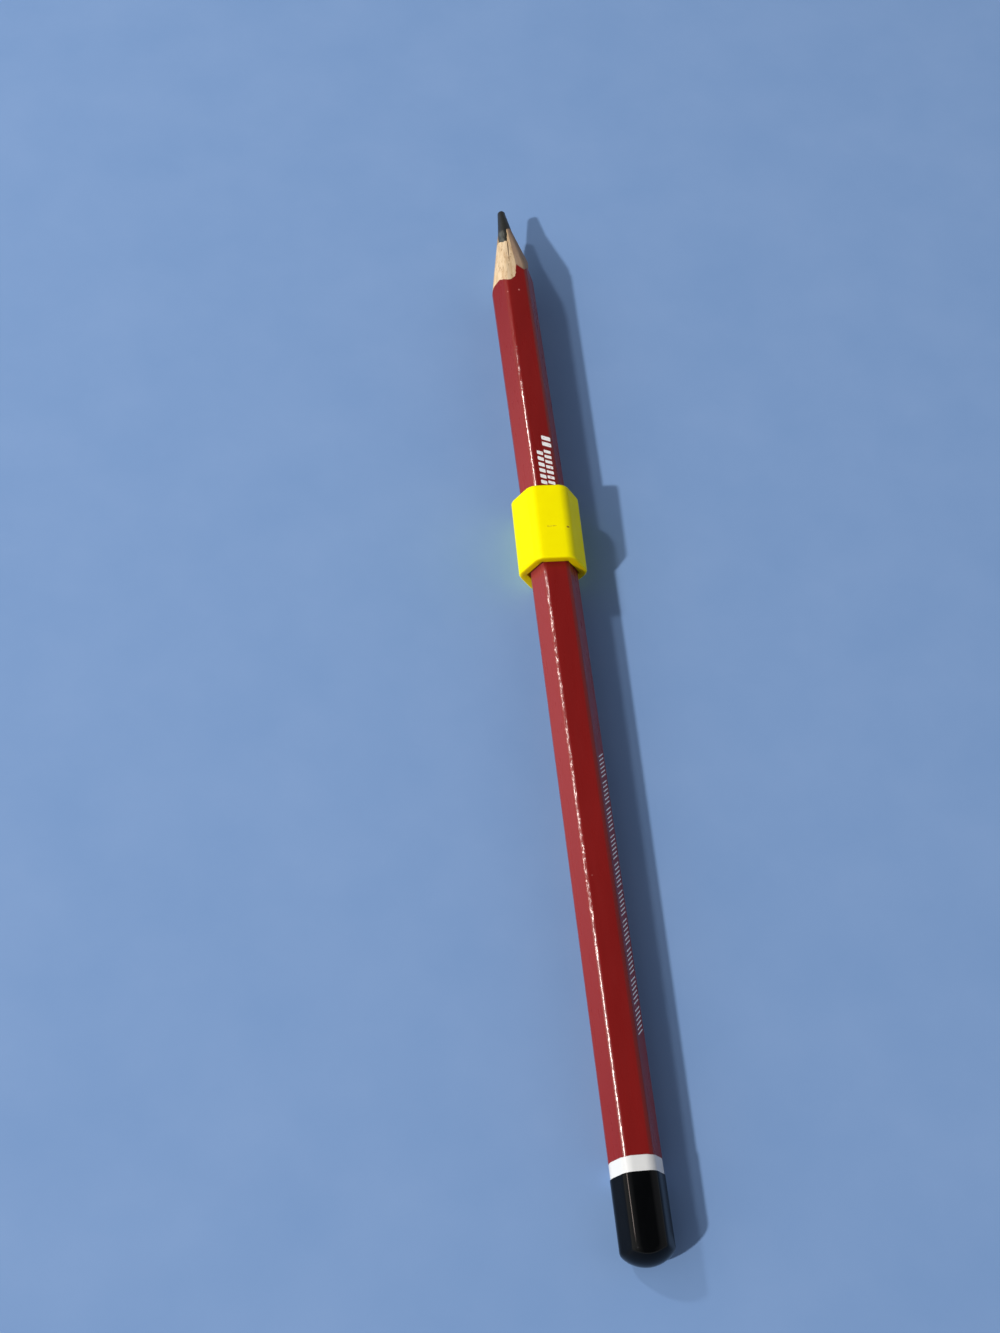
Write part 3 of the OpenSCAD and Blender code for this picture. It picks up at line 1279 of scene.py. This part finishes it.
def soft_lamp(name, place, aim, width, height, power, colour):
    """A rectangular soft lamp at a place, turned towards an aim; its width is level."""
    towards_lamp = Vector(place) - Vector(aim)
    let_go()
    bpy.ops.object.light_add(
        type="AREA", location=place, rotation=towards_lamp.to_track_quat("Z", "X").to_euler()
    )
    lamp = bpy.context.object
    lamp.name = name
    lamp.data.shape = "RECTANGLE"
    lamp.data.size = height
    lamp.data.size_y = width
    lamp.data.energy = power
    lamp.data.color = colour
    print(name, "at", [round(value, 2) for value in lamp.location], "power", power)
    return lamp


def shadow_lamp(name, place, size, power):
    """A small square lamp that throws a shadow of the object."""
    return soft_lamp(name, place, object_middle, size, size, power, warm_white)


shadow_lamp("key_lamp", (-2.03, -1.16, 1.9), size=0.1, power=67)
second_lamp = shadow_lamp("second_lamp", (-0.365, 0.234, 0.43), size=0.04, power=0.83)
second_lamp.visible_glossy = False

# %% [markdown]
# A bright line runs along the flattened upper left edge of both pencils. It could be painted on, but then
# it would stay there from every side. So two long strips stand where that edge mirrors them, one for each
# pencil. They show only in reflections and light nothing else.

# %% Lamps for the bright line
strip_x = -0.6
strip_height = 0.06
strip_colour = (1, 0.82, 0.75)


def strip_lamp(name, y_from, y_to, z, power):
    """A lamp along Y that shows in reflections but lights nothing else."""
    middle = (y_from + y_to) / 2
    place = (strip_x, middle, z)
    lamp = soft_lamp(name, place, (0, middle, 0), y_to - y_from, strip_height, power, strip_colour)
    lamp.visible_diffuse = False


strip_lamp("rear_strip", y_from=0.062, y_to=0.54, z=0.493, power=1.5)
strip_lamp("stub_strip", y_from=0.62, y_to=0.79, z=0.747, power=0.75)

# %% [markdown]
# ## The sky
# The sky is dim, and lighter at the left, as beside a window. A plain grey world would light both sides
# alike and flatten the pencils. Behind the table, where a low view meets the sky, it is a plain pale blue
# instead, and reflections of the sky's lowest part show that too. It adds no light to the object.

# %% Sky
window_light = (1.25, 1.25, 1.22)
beside_window = (0.42, 0.42, 0.43)
dim_middle = (0.06, 0.065, 0.08)
right_side = (0.5, 0.51, 0.55)
far_right = (0.5, 0.52, 0.56)
backdrop_blue = (0.7, 0.77, 0.86)
backdrop_heights = (0.06, 0.1)

sky = bpy.data.worlds.new("dim_sky")
bpy.context.scene.world = sky
sky.use_nodes = True
tree = sky.node_tree
sky_place = tree.nodes.new("ShaderNodeTexCoord")
sky_split = tree.nodes.new("ShaderNodeSeparateXYZ")
tree.links.new(sky_place.outputs["Generated"], sky_split.inputs["Vector"])
sky_tone = colours(
    tree,
    between(tree, sky_split.outputs["X"], -1, 1),
    [
        (0.0, window_light),
        (0.25, beside_window),
        (0.42, dim_middle),
        (0.65, dim_middle),
        (0.85, right_side),
        (1.0, far_right),
    ],
)
ray_kind = tree.nodes.new("ShaderNodeLightPath").outputs
mirrored = maths(tree, "MAXIMUM", ray_kind["Is Glossy Ray"], ray_kind["Is Transmission Ray"])
low_down = between(tree, sky_split.outputs["Z"], *backdrop_heights, 1, 0)
backdrop = maths(tree, "MAXIMUM", ray_kind["Is Camera Ray"], product(tree, mirrored, low_down))
sky_tone = mixed(tree, backdrop, sky_tone, backdrop_blue)
tree.links.new(sky_tone, tree.nodes["Background"].inputs["Color"])
bpy.context.scene.view_settings.view_transform = "Standard"
print(f"{sky.name}: {len(tree.nodes)} nodes")
